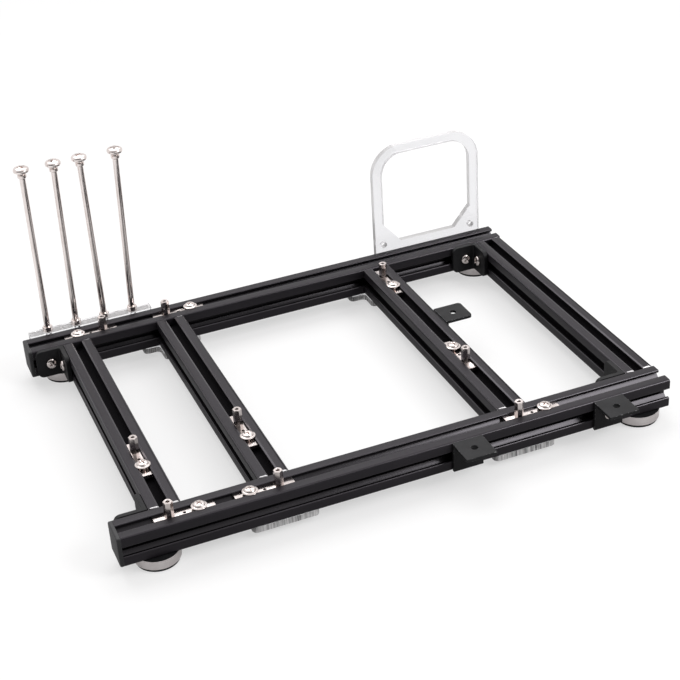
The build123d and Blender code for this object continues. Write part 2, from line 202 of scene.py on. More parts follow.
# Painted shade: mirrors see the floor dark under and near the frame, and matt surfaces get only the dark
# floor as bounce light.
mirrored = mirror_ray * beyond.between(*SHADE_REACH, SHADE_MIRRORED, 1.0)
seen = camera_ray.larger(clear_ray).larger(mirrored)
lit_table = table.node("BsdfDiffuse", None, {"Color": FLOOR_COLOUR})
white_table = table.node("Emission", None, {"Color": WHITE, "Strength": 1.0})
far_white = beyond.between(*FAR_REACH, *FAR_WHITE)
pale_table = table.node("MixShader", None, {0: far_white, 1: lit_table, 2: white_table})
painted_shade_table = table.node("BsdfDiffuse", None, {"Color": FLOOR_PAINTED_SHADE})
table_shader = table.node("MixShader", None, {0: seen, 1: painted_shade_table, 2: pale_table})
table.node("OutputMaterial", None, {"Surface": table_shader})
floor_mesh.materials.append(table.owner)

DARK_SIDE = (-0.42, -0.90, -0.10)           # towards the open side of the tent
DARK_EDGE = (0.15, 0.85)                    # where the tent begins to darken towards it, and is dark
DARK_LEVEL = 0.05
TENT_WHITE = (1.0, 0.985, 0.985, 1.0)

world = bpy.data.worlds.new("tent")
bpy.context.scene.world = world
tent = Finish("tent", world)
direction = tent.node("TexCoord", output="Generated")
facing = tent.node("VectorMath", {"operation": "DOT_PRODUCT"}, {0: direction, 1: DARK_SIDE}, "Value")
camera_ray = tent.node("LightPath", output="Is Camera Ray")
clear_ray = tent.node("LightPath", output="Is Transmission Ray")
strength = camera_ray.larger(clear_ray).larger(facing.between(*DARK_EDGE, 1.0, DARK_LEVEL))
tent_light = tent.node("Background", None, {"Color": TENT_WHITE, "Strength": strength})
tent.node("OutputWorld", None, {"Surface": tent_light})


def lamp(name, place, target, size, power):
    """A flat lamp of a width and a height in metres and a power in watts, turned to a target."""
    data = bpy.data.lights.new(name, "AREA")
    data.shape = "RECTANGLE"
    data.size, data.size_y = size
    data.energy = power
    made = bpy.data.objects.new(name, data)
    made.location = place
    made.rotation_euler = (Vector(target) - Vector(place)).to_track_quat("-Z", "Y").to_euler()
    bpy.context.scene.collection.objects.link(made)


lamp("over_the_back", (0.1, 0.9, 1.5), (0, 0, 0), (1.6, 1.0), 12)
lamp("front_right", (0.95, -1.0, 1.12), (0.1, -0.1, 0), (0.7, 0.6), 10)

# Rails and cross members: 20 mm slotted bars, pressed through a die, sand blasted and anodised black.
# Fine lines from the die run along them, and their edges are eased just enough to catch the light.
# The members are sawn and filed by hand, and their bare ends butt against the rails.

SAME_POINT = 0.002 * MM                     # points that are nearer to each other are one point
FLAT_WITHIN = math.radians(0.5)             # faces that turn less than this are one flat face
SHARP_TURN = 25.0                           # edges that turn more, in degrees, are eased
EDGE, BARE_END, INSIDE = 1, 2, 3            # the numbers of a bar's materials, after that of its plain faces


def merged_copy(node):
    """A copy of a node's loose triangles with their shared points made one."""
    made = bmesh.new()
    made.from_mesh(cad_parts[node].data)
    bmesh.ops.remove_doubles(made, verts=made.verts, dist=SAME_POINT)
    return made


def make_faces_whole(made):
    bmesh.ops.dissolve_limit(made, angle_limit=FLAT_WITHIN, verts=made.verts, edges=made.edges)


def sharp_edges(made, turn=SHARP_TURN):
    limit = math.radians(turn)
    return [edge for edge in made.edges if edge.is_manifold and edge.calc_face_angle(0) > limit]


def ease(made, edges, width, material=-1):
    """Rounds edges over in two steps, and gives the new faces a material's number."""
    settings = {"segments": 2, "profile": 0.5, "affect": "EDGES", "clamp_overlap": True, "material": material}
    bmesh.ops.bevel(made, geom=edges, offset=width, **settings)


def eased_copy(node, width, first=None, sort_faces=None):
    """A copy of a node with its flat faces made whole and its sharp edges eased.

    The eased edges take the piece's second material.
    """
    made = merged_copy(node)
    make_faces_whole(made)
    if first:
        first(made, *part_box(node))
    ease(made, sharp_edges(made), width, EDGE)
    bmesh.ops.remove_doubles(made, verts=made.verts, dist=0.05 * SAME_POINT)
    if sort_faces:
        sort_faces(made, *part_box(node))
    return as_piece(made, f"{node}_eased")


def as_piece(made, name, smooth=21.0):
    """Turns a bmesh into an object that is smooth but for edges that turn by more than some degrees."""
    mesh = bpy.data.meshes.new(name)
    made.to_mesh(mesh)
    made.free()
    for polygon in mesh.polygons:
        polygon.use_smooth = True
    mesh.set_sharp_from_angle(angle=math.radians(smooth))
    piece = bpy.data.objects.new(name, mesh)
    bpy.context.scene.collection.objects.link(piece)
    return piece


def hand_over(piece, slot, materials, *nodes):
    """Gives a finished piece its materials and its body, and hides the nodes that it stands for. Its slot is
    not used.
    """
    if not piece.data.materials:
        for material in materials:
            piece.data.materials.append(material)
    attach(piece, "root")
    if nodes:
        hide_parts(*nodes)


ANODISED_DARK = (0.0085, 0.0075, 0.0095)
ANODISED_LIGHT = (0.0155, 0.0135, 0.0165)
ANODISED_TINT = (0.97, 0.92, 1.0, 1.0)
PROFILE_EDGE = 0.16 * MM


def anodised(name, along, bright=1.0, gloss=0.38, level=0.30):
    """Black anodised aluminium with the die's lines along one axis.

    Bright scales its colour: lighter on eased edges, as wear and as painted highlight, and darker inside
    slots, as painted shade. Gloss is its lowest roughness and level is how strongly it mirrors.
    """
    finish = Finish(name)
    place, _ = finish.axes()
    drawn_lines = tuple(0.012 if axis == along else 1.0 for axis in "XYZ")
    drawn_streaks = tuple(0.02 if axis == along else 1.0 for axis in "XYZ")
    lines = finish.noise(place, scale=2600, roughness=0.6, stretch=drawn_lines)
    blast = finish.noise(place, scale=5200, roughness=0.6)
    clouds = finish.noise(place, scale=28, detail=3.0, roughness=0.55)
    streaks = finish.noise(place, scale=420, stretch=drawn_streaks)
    tone = 0.55 * clouds + 0.45 * streaks
    dark = tuple(value * bright for value in ANODISED_DARK)
    light = tuple(value * bright for value in ANODISED_LIGHT)
    return finish.surface(
        Base_Color=finish.blend(tone.between(0.3, 0.7), dark, light),
        Roughness=tone.between(0.25, 0.75, gloss, gloss + 0.13),
        Specular_IOR_Level=level,
        Specular_Tint=ANODISED_TINT,
        Normal=finish.bump(0.5 * lines + 0.5 * blast, depth=0.010 * MM, strength=0.6),
    )


BARE_ALUMINIUM = ((0.70, 0.69, 0.70), (0.86, 0.85, 0.86))


def saw_cut():
    """Bare aluminium with the marks of a saw."""
    finish = Finish("saw_cut_aluminium")
    place, _ = finish.axes()
    marks = finish.noise(place, scale=1900, roughness=0.6, stretch=(1.0, 1.0, 0.05))
    return finish.surface(
        Base_Color=finish.blend(marks.between(0.3, 0.7), *BARE_ALUMINIUM),
        Metallic=0.6,
        Roughness=marks.between(0.2, 0.8, 0.36, 0.52),
        Normal=finish.bump(marks, depth=0.02 * MM, strength=0.7),
    )


CUT_DEPTH = {"X": 0.02 * MM, "Y": 0.45 * MM}  # faces that lie nearer to a bar's end are bare
CUT_CHAMFER = 0.6 * MM
SKIN_DEPTH = 0.5 * MM                       # faces that lie deeper than this are inside a slot
SLANT = 0.35                                # faces that lean more than this are a slanted edge
ON_PLANE = 0.01 * MM                        # points this near to a plane lie on it


def file_top_of_cuts(made, low, high):
    """Chamfers the tops of a member's sawn ends, as a file leaves them, so bare metal shows."""
    edges = []
    for edge in made.edges:
        points = [vert.co for vert in edge.verts]
        on_end = all(min(point.y - low.y, high.y - point.y) < ON_PLANE for point in points)
        if on_end and all(high.z - point.z < ON_PLANE for point in points):
            edges.append(edge)
    bmesh.ops.bevel(made, geom=edges, offset=CUT_CHAMFER, segments=1, affect="EDGES", clamp_overlap=False)


def sort_profile_faces(along):
    """Makes a function that gives a bar's faces their materials, for a bar that runs along one axis."""
    across = [axis for axis in range(3) if axis != along]

    def sort(made, low, high):
        for face in made.faces:
            point = face.calc_center_median()
            depth = [min(point[axis] - low[axis], high[axis] - point[axis]) for axis in range(3)]
            if depth[along] < CUT_DEPTH["XYZ"[along]]:
                face.material_index = BARE_END
            elif min(depth[axis] for axis in across) > SKIN_DEPTH:
                face.material_index = INSIDE
            elif min(abs(face.normal[axis]) for axis in across) > SLANT:
                face.material_index = EDGE

    return sort


bare_end = saw_cut()
profile_nodes = {
    "X": ["rail_front", "rail_back"],
    "Y": [f"cross_member_{name}" for name in ("first", "second", "third", "fourth")],
}
inside_sheen = {"X": {"gloss": 0.14, "level": 0.45}, "Y": {"gloss": 0.8, "level": 0.1}}
for along, names in profile_nodes.items():
    outside = anodised(f"anodised_along_{along.lower()}", along)
    # The eased edges' copy is lighter, partly as wear and partly as painted highlight.
    edge = anodised(f"anodised_edge_wear_and_painted_highlight_{along.lower()}", along, bright=1.4, gloss=0.17, level=0.5)
    # The slots' insides are darker: painted shade in the recesses.
    inside = anodised(f"anodised_inside_painted_shade_{along.lower()}", along, bright=0.3, **inside_sheen[along])
    first = file_top_of_cuts if along == "Y" else None
    sort = sort_profile_faces("XYZ".index(along))
    for name in names:
        piece = eased_copy(name, PROFILE_EDGE, first, sort)
        hand_over(piece, "anodised_black", [outside, edge, bare_end, inside], name)

# End caps: moulded black plastic, pushed into the left ends of both rails.
# The mould's face is finely spark eroded, so it is dull and even.

CAP_EDGE = 0.18 * MM
CAP_BLACK = ((0.016, 0.016, 0.018), (0.023, 0.023, 0.025))


def moulded_black():
    finish = Finish("moulded_black")
    place, _ = finish.axes()
    erosion = finish.noise(place, scale=3400, detail=3.0, roughness=0.65)
    clouds = finish.noise(place, scale=60)
    return finish.surface(
        Base_Color=finish.blend(clouds.between(0.3, 0.7), *CAP_BLACK),
        Roughness=erosion.between(0.2, 0.8, 0.42, 0.56),
        Specular_IOR_Level=0.45,
        Normal=finish.bump(erosion, depth=0.02 * MM, strength=0.7),
    )


cap_finish = moulded_black()
for name in ("end_cap_front", "end_cap_back"):
    hand_over(eased_copy(name, CAP_EDGE), "black_plastic", [cap_finish, cap_finish], name)

# Corner brackets: cast aluminium angles in the frame's corners, coated black, each with two screws.
# The coating is thin and a little chipped along the edges, where bare metal shows.

CORNER_BRACKET_EDGE = 0.3 * MM
COAT_BLACK = ((0.0085, 0.0085, 0.0095), (0.0155, 0.0155, 0.017))
COAT_BARE = (0.30, 0.30, 0.31)


def coated_black(name, worn):
    """Thin black coat. Worn goes from 0, whole, to 1, rubbed bare."""
    finish = Finish(name)
    place, _ = finish.axes()
    grain = finish.noise(place, scale=2600, detail=3.0, roughness=0.6)
    clouds = finish.noise(place, scale=90, detail=3.0)
    chips = finish.noise(place, scale=900, detail=3.0, roughness=0.7)
    least = 0.86 - 0.42 * worn
    bare = chips.between(least, least + 0.06)
    coat = finish.blend(clouds.between(0.3, 0.7), *COAT_BLACK)
    return finish.surface(
        Base_Color=finish.blend(bare, coat, COAT_BARE),
        Roughness=grain.between(0.2, 0.8, 0.44, 0.58),
        Metallic=bare * 0.8,
        Specular_IOR_Level=0.22,
        Normal=finish.bump(grain, depth=0.014 * MM, strength=0.7),
    )


whole_coat = coated_black("coated_face", 0.0)
worn_coat = coated_black("coated_edge", 0.35)
corner_names = [f"corner_bracket_{row}_{side}" for row in ("front", "back") for side in ("left", "right")]
for name in corner_names:
    hand_over(eased_copy(name, CORNER_BRACKET_EDGE), "black_coated", [whole_coat, worn_coat], name)

# Angle brackets: bent sheet aluminium, coated black, with a drilled flange level with the frame's top.
# The two on the front rail are sheared square, and their edges are chipped more than the castings'.

ANGLE_BRACKET_EDGE = 0.22 * MM
ANGLE_FREE_RADIUS = 2.5 * MM


def square_corners(made, low, high):
    """Draws the rounded corners of a front bracket's flange and wall out to square ones."""
    for axis in (1, 2):
        for vert in made.verts:
            end = low.x if vert.co.x - low.x < high.x - vert.co.x else high.x
            if max(abs(vert.co[axis] - low[axis]), abs(vert.co.x - end)) < 0.99 * ANGLE_FREE_RADIUS:
                vert.co[axis] = low[axis]
                vert.co.x = end
    bmesh.ops.remove_doubles(made, verts=made.verts, dist=SAME_POINT)
    make_faces_whole(made)


chipped_coat = coated_black("coated_edge_chipped", 0.7)
for place, first in (("front_middle", square_corners), ("front_right", square_corners), ("inner", None)):
    name = f"angle_bracket_{place}"
    hand_over(eased_copy(name, ANGLE_BRACKET_EDGE, first), "black_coated", [whole_coat, chipped_coat], name)

# Feet: turned metal discs, each on a glued rubber ring. Their tops are painted black, as painted shade and
# painted reflection of the black rail above.
# The side shows the lathe's fine rings, and the rubber is dull and a little dusty.

FOOT_EDGE = 0.12 * MM
PAD_EDGE = 0.2 * MM
TURNED_METAL = ((0.82, 0.765, 0.76), (0.93, 0.88, 0.875))
RUBBER_BLACK = ((0.012, 0.012, 0.012), (0.05, 0.05, 0.05))
FACING_UP = 0.9                             # how upright a normal has to be for a face to be the top, painted black as painted shade
PAINTED_SHADE_TOP = 2                               # the number of its material


def turned_metal(name, centre):
    """Turned metal whose rings run about an upright axis through the centre."""
    finish = Finish(name)
    place, (x, y, z) = finish.axes()
    along_x = x - centre.x
    along_y = y - centre.y
    radius = finish.node("Math", {"operation": "SQRT"}, {0: along_x * along_x + along_y * along_y})
    rings = finish.node("CombineXYZ", None, {"X": radius, "Z": z})
    cut = finish.noise(rings, scale=3800, roughness=0.7)
    bands = finish.noise(rings, scale=900, detail=1.0)
    stain = finish.noise(place, scale=160, detail=3.0)
    return finish.surface(
        Base_Color=finish.blend(stain.between(0.3, 0.7), *TURNED_METAL),
        Metallic=1.0,
        Roughness=bands.between(0.2, 0.8, 0.26, 0.42),
        Normal=finish.bump(0.7 * cut + 0.3 * bands, depth=0.03 * MM, strength=0.8),
    )


def dull_rubber():
    finish = Finish("dull_rubber")
    place, _ = finish.axes()
    skin = finish.noise(place, scale=1800, detail=3.0, roughness=0.6)
    dust = finish.noise(place, scale=240, detail=4.0, roughness=0.7)
    return finish.surface(
        Base_Color=finish.blend(dust.between(0.5, 0.8), *RUBBER_BLACK),
        Roughness=skin.between(0.2, 0.8, 0.62, 0.82),
        Normal=finish.bump(skin, depth=0.03 * MM, strength=0.6),
    )


rubber = dull_rubber()
foot_places = [f"{row}_{side}" for row in ("front", "back") for side in ("left", "right")]
for place in foot_places:
    low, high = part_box(f"foot_{place}")
    metal = turned_metal(f"turned_{place}", (low + high) / 2)
    disc = eased_copy(f"foot_{place}", FOOT_EDGE)
    # Painted shade: the upright top faces take the black coat, for the rail's shadow and its dark reflection.
    for polygon in disc.data.polygons:
        if polygon.normal.z > FACING_UP:
            polygon.material_index = PAINTED_SHADE_TOP
    hand_over(disc, "foot_metal", [metal, metal, whole_coat], f"foot_{place}")
    hand_over(eased_copy(f"foot_pad_{place}", PAD_EDGE), "rubber", [rubber, rubber], f"foot_pad_{place}")

# Slot bars: stamped steel, nickel plated, bright and slightly warm. The nuts on the rods' strip are the same.
# The bars lie behind the slots' lips, so only their plated tops show. Their standoffs are made further down.

NICKEL = ((0.70, 0.635, 0.61), (0.82, 0.755, 0.735))
BAR_EDGE = 0.14 * MM
BASE_NUT_EDGE = 0.15 * MM
STANDOFF_HEIGHT = 11.0 * MM
STANDOFF_STUMP = 0.03 * MM                  # what stays on the bar of its plain standoff, under the new one


def nickel_plate(name, roughness):
    """Bright nickel. The roughness is the lowest that it has."""
    finish = Finish(name)
    place, _ = finish.axes()
    ripple = finish.noise(place, scale=420)
    haze = finish.noise(place, scale=90, detail=4.0, roughness=0.65)
    return finish.surface(
        Base_Color=finish.blend(haze.between(0.3, 0.7), *NICKEL),
        Metallic=1.0,
        Roughness=haze.between(0.25, 0.75, roughness, roughness + 0.12),
        Normal=finish.bump(ripple, depth=0.02 * MM, strength=0.35),
    )


def bar_alone(node):
    """A slot bar without its standoff, and the middle of the standoff's foot."""
    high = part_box(node)[1]
    top = high.z - STANDOFF_HEIGHT
    made = merged_copy(node)
    crown = [vert.co for vert in made.verts if vert.co.z > high.z - ON_PLANE]
    x, y = [(min(co[axis] for co in crown) + max(co[axis] for co in crown)) / 2 for axis in range(2)]
    cut = {"geom": [*made.verts, *made.edges, *made.faces], "plane_co": (0, 0, top + STANDOFF_STUMP)}
    sides = bmesh.ops.bisect_plane(made, **cut, plane_no=(0, 0, 1), clear_outer=True)["geom_cut"]
    bmesh.ops.edgeloop_fill(made, edges=[item for item in sides if isinstance(item, bmesh.types.BMEdge)])
    make_faces_whole(made)
    on_bar = [edge for edge in sharp_edges(made) if min(vert.co.z for vert in edge.verts) < top + ON_PLANE]
    ease(made, on_bar, BAR_EDGE)
    bmesh.ops.remove_doubles(made, verts=made.verts, dist=0.5 * SAME_POINT)
    bmesh.ops.dissolve_degenerate(made, edges=made.edges, dist=0.5 * SAME_POINT)
    return as_piece(made, f"{node}_plated"), (x, y, top)


nickel = nickel_plate("nickel_plate", 0.13)
bar_names = sorted(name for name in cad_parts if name.startswith("slot_bar"))
standoff_feet = []
for name in bar_names:
    bar, foot_middle = bar_alone(name)
    standoff_feet.append(foot_middle)
    hand_over(bar, "nickel", [nickel], name)
hand_over(eased_copy("rod_base_nuts", BASE_NUT_EDGE), "nickel", [nickel, nickel], "rod_base_nuts")

# Clamp screws: nickel plated, with a wide domed head on a flange that bears on both lips of a slot.
# All the screws here are made alike: rings about an axis, and a cross pressed into the crown.

RING_POINTS = 48                            # how many points a circle has, and a cross too
RING_ANGLES = [2 * math.pi * step / RING_POINTS for step in range(RING_POINTS)]
CLAMP_SHANK = 2.0 * MM
CLAMP_HEAD_HEIGHT = 2.3 * MM
CLAMP_RIM = 0.45 * MM                       # how thick the flange is at its rim
CLAMP_ROOT = 0.75 * MM                      # how high up the crown leaves the flange
CLAMP_CROWN = 3.55 * MM
CLAMP_FILLET = ((0.25 * MM, -0.03 * MM), (0.06 * MM, 0.05 * MM))  # out and up from the crown's foot
CLAMP_CROSS = 2.2 * MM
CLAMP_TWISTS = (20, 65, 35, 80, 10, 50, 5, 70, 40)


def circle(radius, height):
    return [(radius * math.cos(angle), radius * math.sin(angle), height) for angle in RING_ANGLES]


def cross(reach, width, height_at):
    """The outline of a cross with four equal arms, laid on a surface, with as many points as a circle."""
    half = width / 2
    arm = reach - half
    quarter = [(reach, half * step / 2) for step in range(2)]
    quarter += [(reach - arm * step / 4, half) for step in range(4)]
    quarter += [(half, half + arm * step / 4) for step in range(4)]
    quarter += [(half - half * step / 2, reach) for step in range(2)]
    points = []
    for turn in range(4):
        angle = turn * math.pi / 2
        for x, y in quarter:
            turned = (x * math.cos(angle) - y * math.sin(angle), x * math.sin(angle) + y * math.cos(angle))
            points.append((*turned, height_at(math.hypot(*turned))))
    return points


def shank(radius, length, top=0.0):
    """The rings of a screw's shank, whose lower end is chamfered."""
    return [circle(0.82 * radius, -length), circle(radius, -length + 0.18 * radius), circle(radius, top)]


def domed(radius, root, height, power):
    """Makes a function that gives a crown's height at a distance from its middle."""

    def height_at(distance):
        return root + (height - root) * (1 - (distance / radius) ** power) ** (1 / power)

    return height_at


def crown_rings(radius, crown, shares):
    return [circle(radius * share, crown(radius * share)) for share in shares]


def pressed_cross(reach, crown, arm, floor_arm, floor):
    """The rings of a cross in a crown: its rolled edge, its mouth and its floor.

    Arm and floor_arm are how wide its arms are at the mouth and on the floor, as shares of its reach.
    Floor is how high the floor lies.
    """
    lip = 0.05 * reach
    return [
        cross(reach + lip, arm * reach + 2 * lip, crown),
        cross(reach, arm * reach, lambda distance: crown(distance) - lip),
        cross(0.55 * reach, floor_arm * reach, lambda distance: floor),
    ]


def skin(made, loops):
    """Joins loops of points by faces, each loop to the next."""
    for lower, upper in zip(loops, loops[1:]):
        for step in range(len(lower)):
            follow = (step + 1) % len(lower)
            made.faces.new((lower[step], lower[follow], upper[follow], upper[step]))


def ringed(rings):
    """A closed shape skinned over rings of points, from its lower end to its upper end."""
    made = bmesh.new()
    loops = [[made.verts.new(point) for point in ring] for ring in rings]
    skin(made, loops)
    made.faces.new(list(reversed(loops[0])))
    made.faces.new(loops[-1])
    bmesh.ops.recalc_face_normals(made, faces=made.faces)
    return made


def flanged_head(radius, length):
    """A domed crown on a thin flange, with a cross in the crown, and its shank below."""
    crown = domed(CLAMP_CROWN, CLAMP_ROOT, CLAMP_HEAD_HEIGHT, power=2.6)
    rounding = 0.3 * CLAMP_RIM
    rings = shank(CLAMP_SHANK, length)
    rings += [circle(radius - rounding, 0), circle(radius, rounding)]
    rings += [circle(radius, CLAMP_RIM - rounding), circle(radius - rounding, CLAMP_RIM)]
    rings += [circle(CLAMP_CROWN + out, CLAMP_ROOT + up) for out, up in CLAMP_FILLET]
    rings += crown_rings(CLAMP_CROWN, crown, (0.995, 0.97, 0.92, 0.85, 0.75))
    rings += pressed_cross(CLAMP_CROSS, crown, arm=0.40, floor_arm=0.24, floor=0.35 * CLAMP_HEAD_HEIGHT)
    return ringed(rings)


def repeated(name, shape, seats, material):
    """One mesh that holds the shape at every seat, made by a tree of geometry nodes."""
    seats_mesh = bpy.data.meshes.new(f"{name}_seats")
    seats_mesh.from_pydata([seat.to_translation() for seat in seats], [], [])
    turns = seats_mesh.attributes.new("turn", "FLOAT_VECTOR", "POINT")
    for number, seat in enumerate(seats):
        turns.data[number].vector = seat.to_euler("XYZ")
    carrier = bpy.data.objects.new(f"{name}_carrier", seats_mesh)
    bpy.context.scene.collection.objects.link(carrier)

    tree = bpy.data.node_groups.new(f"{name}_tree", "GeometryNodeTree")
    face = tree.interface
    face.new_socket("Seats", in_out="INPUT", socket_type="NodeSocketGeometry")
    shape_input = face.new_socket("Shape", in_out="INPUT", socket_type="NodeSocketObject")
    material_input = face.new_socket("Material", in_out="INPUT", socket_type="NodeSocketMaterial")
    face.new_socket("Pieces", in_out="OUTPUT", socket_type="NodeSocketGeometry")
    start = tree.nodes.new("NodeGroupInput")
    finish = tree.nodes.new("NodeGroupOutput")
    info = tree.nodes.new("GeometryNodeObjectInfo")
    turn = tree.nodes.new("GeometryNodeInputNamedAttribute")
    turn.data_type = "FLOAT_VECTOR"
    turn.inputs["Name"].default_value = "turn"
    rotation = tree.nodes.new("FunctionNodeEulerToRotation")
    place = tree.nodes.new("GeometryNodeInstanceOnPoints")
    realise = tree.nodes.new("GeometryNodeRealizeInstances")
    paint = tree.nodes.new("GeometryNodeSetMaterial")
    for source, target in (
        (start.outputs["Seats"], place.inputs["Points"]),
        (start.outputs["Shape"], info.inputs["Object"]),
        (info.outputs["Geometry"], place.inputs["Instance"]),
        (turn.outputs["Attribute"], rotation.inputs["Euler"]),
        (rotation.outputs["Rotation"], place.inputs["Rotation"]),
        (place.outputs["Instances"], realise.inputs["Geometry"]),
        (realise.outputs["Geometry"], paint.inputs["Geometry"]),
        (start.outputs["Material"], paint.inputs["Material"]),
        (paint.outputs["Geometry"], finish.inputs["Pieces"]),
    ):
        tree.links.new(source, target)

    modifier = carrier.modifiers.new("repeat", "NODES")
    modifier.node_group = tree
    modifier[shape_input.identifier] = shape
    modifier[material_input.identifier] = material
    graph = bpy.context.evaluated_depsgraph_get()
    mesh = bpy.data.meshes.new_from_object(carrier.evaluated_get(graph))
    bpy.data.objects.remove(carrier)
    bpy.data.objects.remove(shape)
    mesh.name = name
    piece = bpy.data.objects.new(name, mesh)
    bpy.context.scene.collection.objects.link(piece)
    return piece


def seat_at(point, outward, twist=0.0):
    """A place whose z axis points outward, turned about it by a twist in degrees."""
    turn = Vector(outward).to_track_quat("Z", "Y").to_matrix().to_4x4()
    return Matrix.Translation(point) @ turn @ Matrix.Rotation(math.radians(twist), 4, "Z")


def islands(node):
    """The boxes of a node's separate solids."""
    made = merged_copy(node)
    left = set(made.verts)
    boxes = []
    while left:
        group, waiting = set(), [left.pop()]
        while waiting:
            vert = waiting.pop()
            group.add(vert)
            for edge in vert.link_edges:
                other = edge.other_vert(vert)
                if other in left:
                    left.remove(other)
                    waiting.append(other)
        low = Vector([min(vert.co[axis] for vert in group) for axis in range(3)])
        high = Vector([max(vert.co[axis] for vert in group) for axis in range(3)])
        boxes.append((low, high))
    made.free()
    return boxes


clamp_boxes = sorted(islands("clamp_screws"), key=lambda box: (round(box[0].x, 4), box[0].y))
clamp_seats = []
for twist, (low, high) in zip(CLAMP_TWISTS, clamp_boxes):
    middle = (low + high) / 2
    middle.z = high.z - CLAMP_HEAD_HEIGHT
    clamp_seats.append(seat_at(middle, (0, 0, 1), twist))
low, high = clamp_boxes[0]
clamp_radius = (high.x - low.x) / 2
clamp_length = high.z - low.z - CLAMP_HEAD_HEIGHT
clamp_shape = as_piece(flanged_head(clamp_radius, clamp_length), "clamp_shape", smooth=30)
clamps = repeated("clamp_screws_crossed", clamp_shape, clamp_seats, nickel)
hand_over(clamps, "nickel", [nickel], "clamp_screws")

# Standoffs: hexagonal nickel plated posts, chamfered at the top and tapped for the board's screws.
# Each is pressed into its slot bar, turned as it happened to be.

STANDOFF_FLATS = 5.0 * MM
STANDOFF_HOLE = 1.105 * MM
STANDOFF_HOLE_DEPTH = 6.0 * MM
COUNTERSINK = (0.45 * MM, 0.4 * MM)         # how much wider than the hole it is, and how deep
DRILL_TIP = (0.1 * MM, 0.8 * MM)            # the radius of the hole's tip, and how far it goes below the bore
CHAMFER_DROP = 0.7                          # how far the chamfer drops for each part it goes out
STANDOFF_TWISTS = (10, 17, 4, 14, 1, 18, 6, 15, 3)


def hexagon(height, chamfer_radius=math.inf):
    """A ring of points on a standoff's six sides. Those beyond the chamfer's radius lie lower."""
    points = []
    for angle in RING_ANGLES:
        reach = STANDOFF_FLATS / 2 / math.cos((angle + math.pi / 6) % (math.pi / 3) - math.pi / 6)
        drop = CHAMFER_DROP * max(reach - chamfer_radius, 0)
        points.append((reach * math.cos(angle), reach * math.sin(angle), height - drop))
    return points


def standoff():
    """A hexagonal post on z = 0 with a chamfered, countersunk top and a blind hole."""
    top = STANDOFF_HEIGHT
    flat_radius = 0.86 * STANDOFF_FLATS / 2
    wider, sunk = COUNTERSINK
    tip_radius, tip_depth = DRILL_TIP
    rings = [hexagon(0), hexagon(top, flat_radius), circle(flat_radius, top)]
    rings += [circle(STANDOFF_HOLE + wider, top), circle(STANDOFF_HOLE, top - sunk)]
    rings += [circle(STANDOFF_HOLE, top - STANDOFF_HOLE_DEPTH)]
    rings += [circle(tip_radius, top - STANDOFF_HOLE_DEPTH - tip_depth)]
    return ringed(rings)


standoff_seats = [seat_at(foot, (0, 0, 1), twist) for foot, twist in zip(standoff_feet, STANDOFF_TWISTS)]
standoff_shape = as_piece(standoff(), "standoff_shape", smooth=18)
hand_over(repeated("standoffs_chamfered", standoff_shape, standoff_seats, nickel), "nickel", [nickel])

# Card rods: long polished screws that stand in the clear strip, each with a collar below its head.
# A card's metal bracket is held against a rod, so the rods are smooth between head and strip.

ROD_RADIUS = 2.1 * MM
ROD_HEAD = (5.35 * MM, 3.5 * MM, 1.3 * MM)  # its radius, its height and how high its rim goes
ROD_COLLAR = (3.1 * MM, 2.6 * MM)           # its radius and its height
ROD_NECK = 1.9 * MM
ROD_UNDERHEAD = 3.0 * MM                    # the underside of the head, below the rod's top
ROD_CROSS = 3.0 * MM
ROD_IN_STRIP = 0.2 * MM
ROD_LEANS = (0.55, 1.05, -0.2, 1.8)         # degrees to the right, as the rods happen to stand
ROD_TWISTS = (15, 60, 40, 75)


def crossed_head(radius, height, rim, shank_radius, length, reach):
    """A domed head on z = 0 with a cross in its crown, and its shank below."""
    crown = domed(radius, rim, height, power=2.3)
    rounding = 0.25 * rim
    rings = shank(shank_radius, length)
    rings += [circle(radius - 1.4 * rounding, 0), circle(radius - 0.4 * rounding, 0.4 * rounding)]
    rings += [circle(radius, 1.4 * rounding), circle(radius, rim)]
    rings += crown_rings(radius, crown, (0.995, 0.975, 0.94, 0.88, 0.80, 0.70))
    rings += pressed_cross(reach, crown, arm=0.42, floor_arm=0.26, floor=0.34 * height)
    return ringed(rings)


def rod(length):
    """A rod that hangs below z = 0 from its crossed head, with a neck and a rounded collar."""
    made = crossed_head(*ROD_HEAD, ROD_RADIUS, length, ROD_CROSS)
    radius, height = ROD_COLLAR
    rounding = 0.18 * height
    outline = [(ROD_RADIUS - 0.05 * MM, 0), (radius - rounding, 0), (radius, rounding)]
    outline += [(out, height - up) for out, up in reversed(outline)]
    foot = -ROD_NECK - height
    loops = [[made.verts.new(point) for point in circle(out, foot + up)] for out, up in outline]
    skin(made, [*loops, loops[0]])
    bmesh.ops.recalc_face_normals(made, faces=made.faces)
    return made


rod_nodes = [f"card_rod_{number}" for number in range(1, 5)]
strip_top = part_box("rod_strip")[1].z
rod_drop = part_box(rod_nodes[0])[1].z - ROD_UNDERHEAD - strip_top
rod_seats = []
for lean, twist, name in zip(ROD_LEANS, ROD_TWISTS, rod_nodes):
    low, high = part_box(name)
    foot_of_rod = (low + high) / 2
    foot_of_rod.z = strip_top
    stand = Matrix.Translation(foot_of_rod) @ Matrix.Rotation(math.radians(lean), 4, "Y")
    rod_seats.append(stand @ seat_at((0, 0, rod_drop), (0, 0, 1), twist))
polished = nickel_plate("polished_nickel", 0.07)
rod_shape = as_piece(rod(rod_drop + ROD_IN_STRIP), "rod_shape", smooth=30)
hand_over(repeated("card_rods_crossed", rod_shape, rod_seats, polished), "nickel", [polished], *rod_nodes)

# Frame screws: small domed heads with a pressed cross, in the brackets and the clear plates.
# Each goes through its plate into a nut that is slid into the slot behind it.

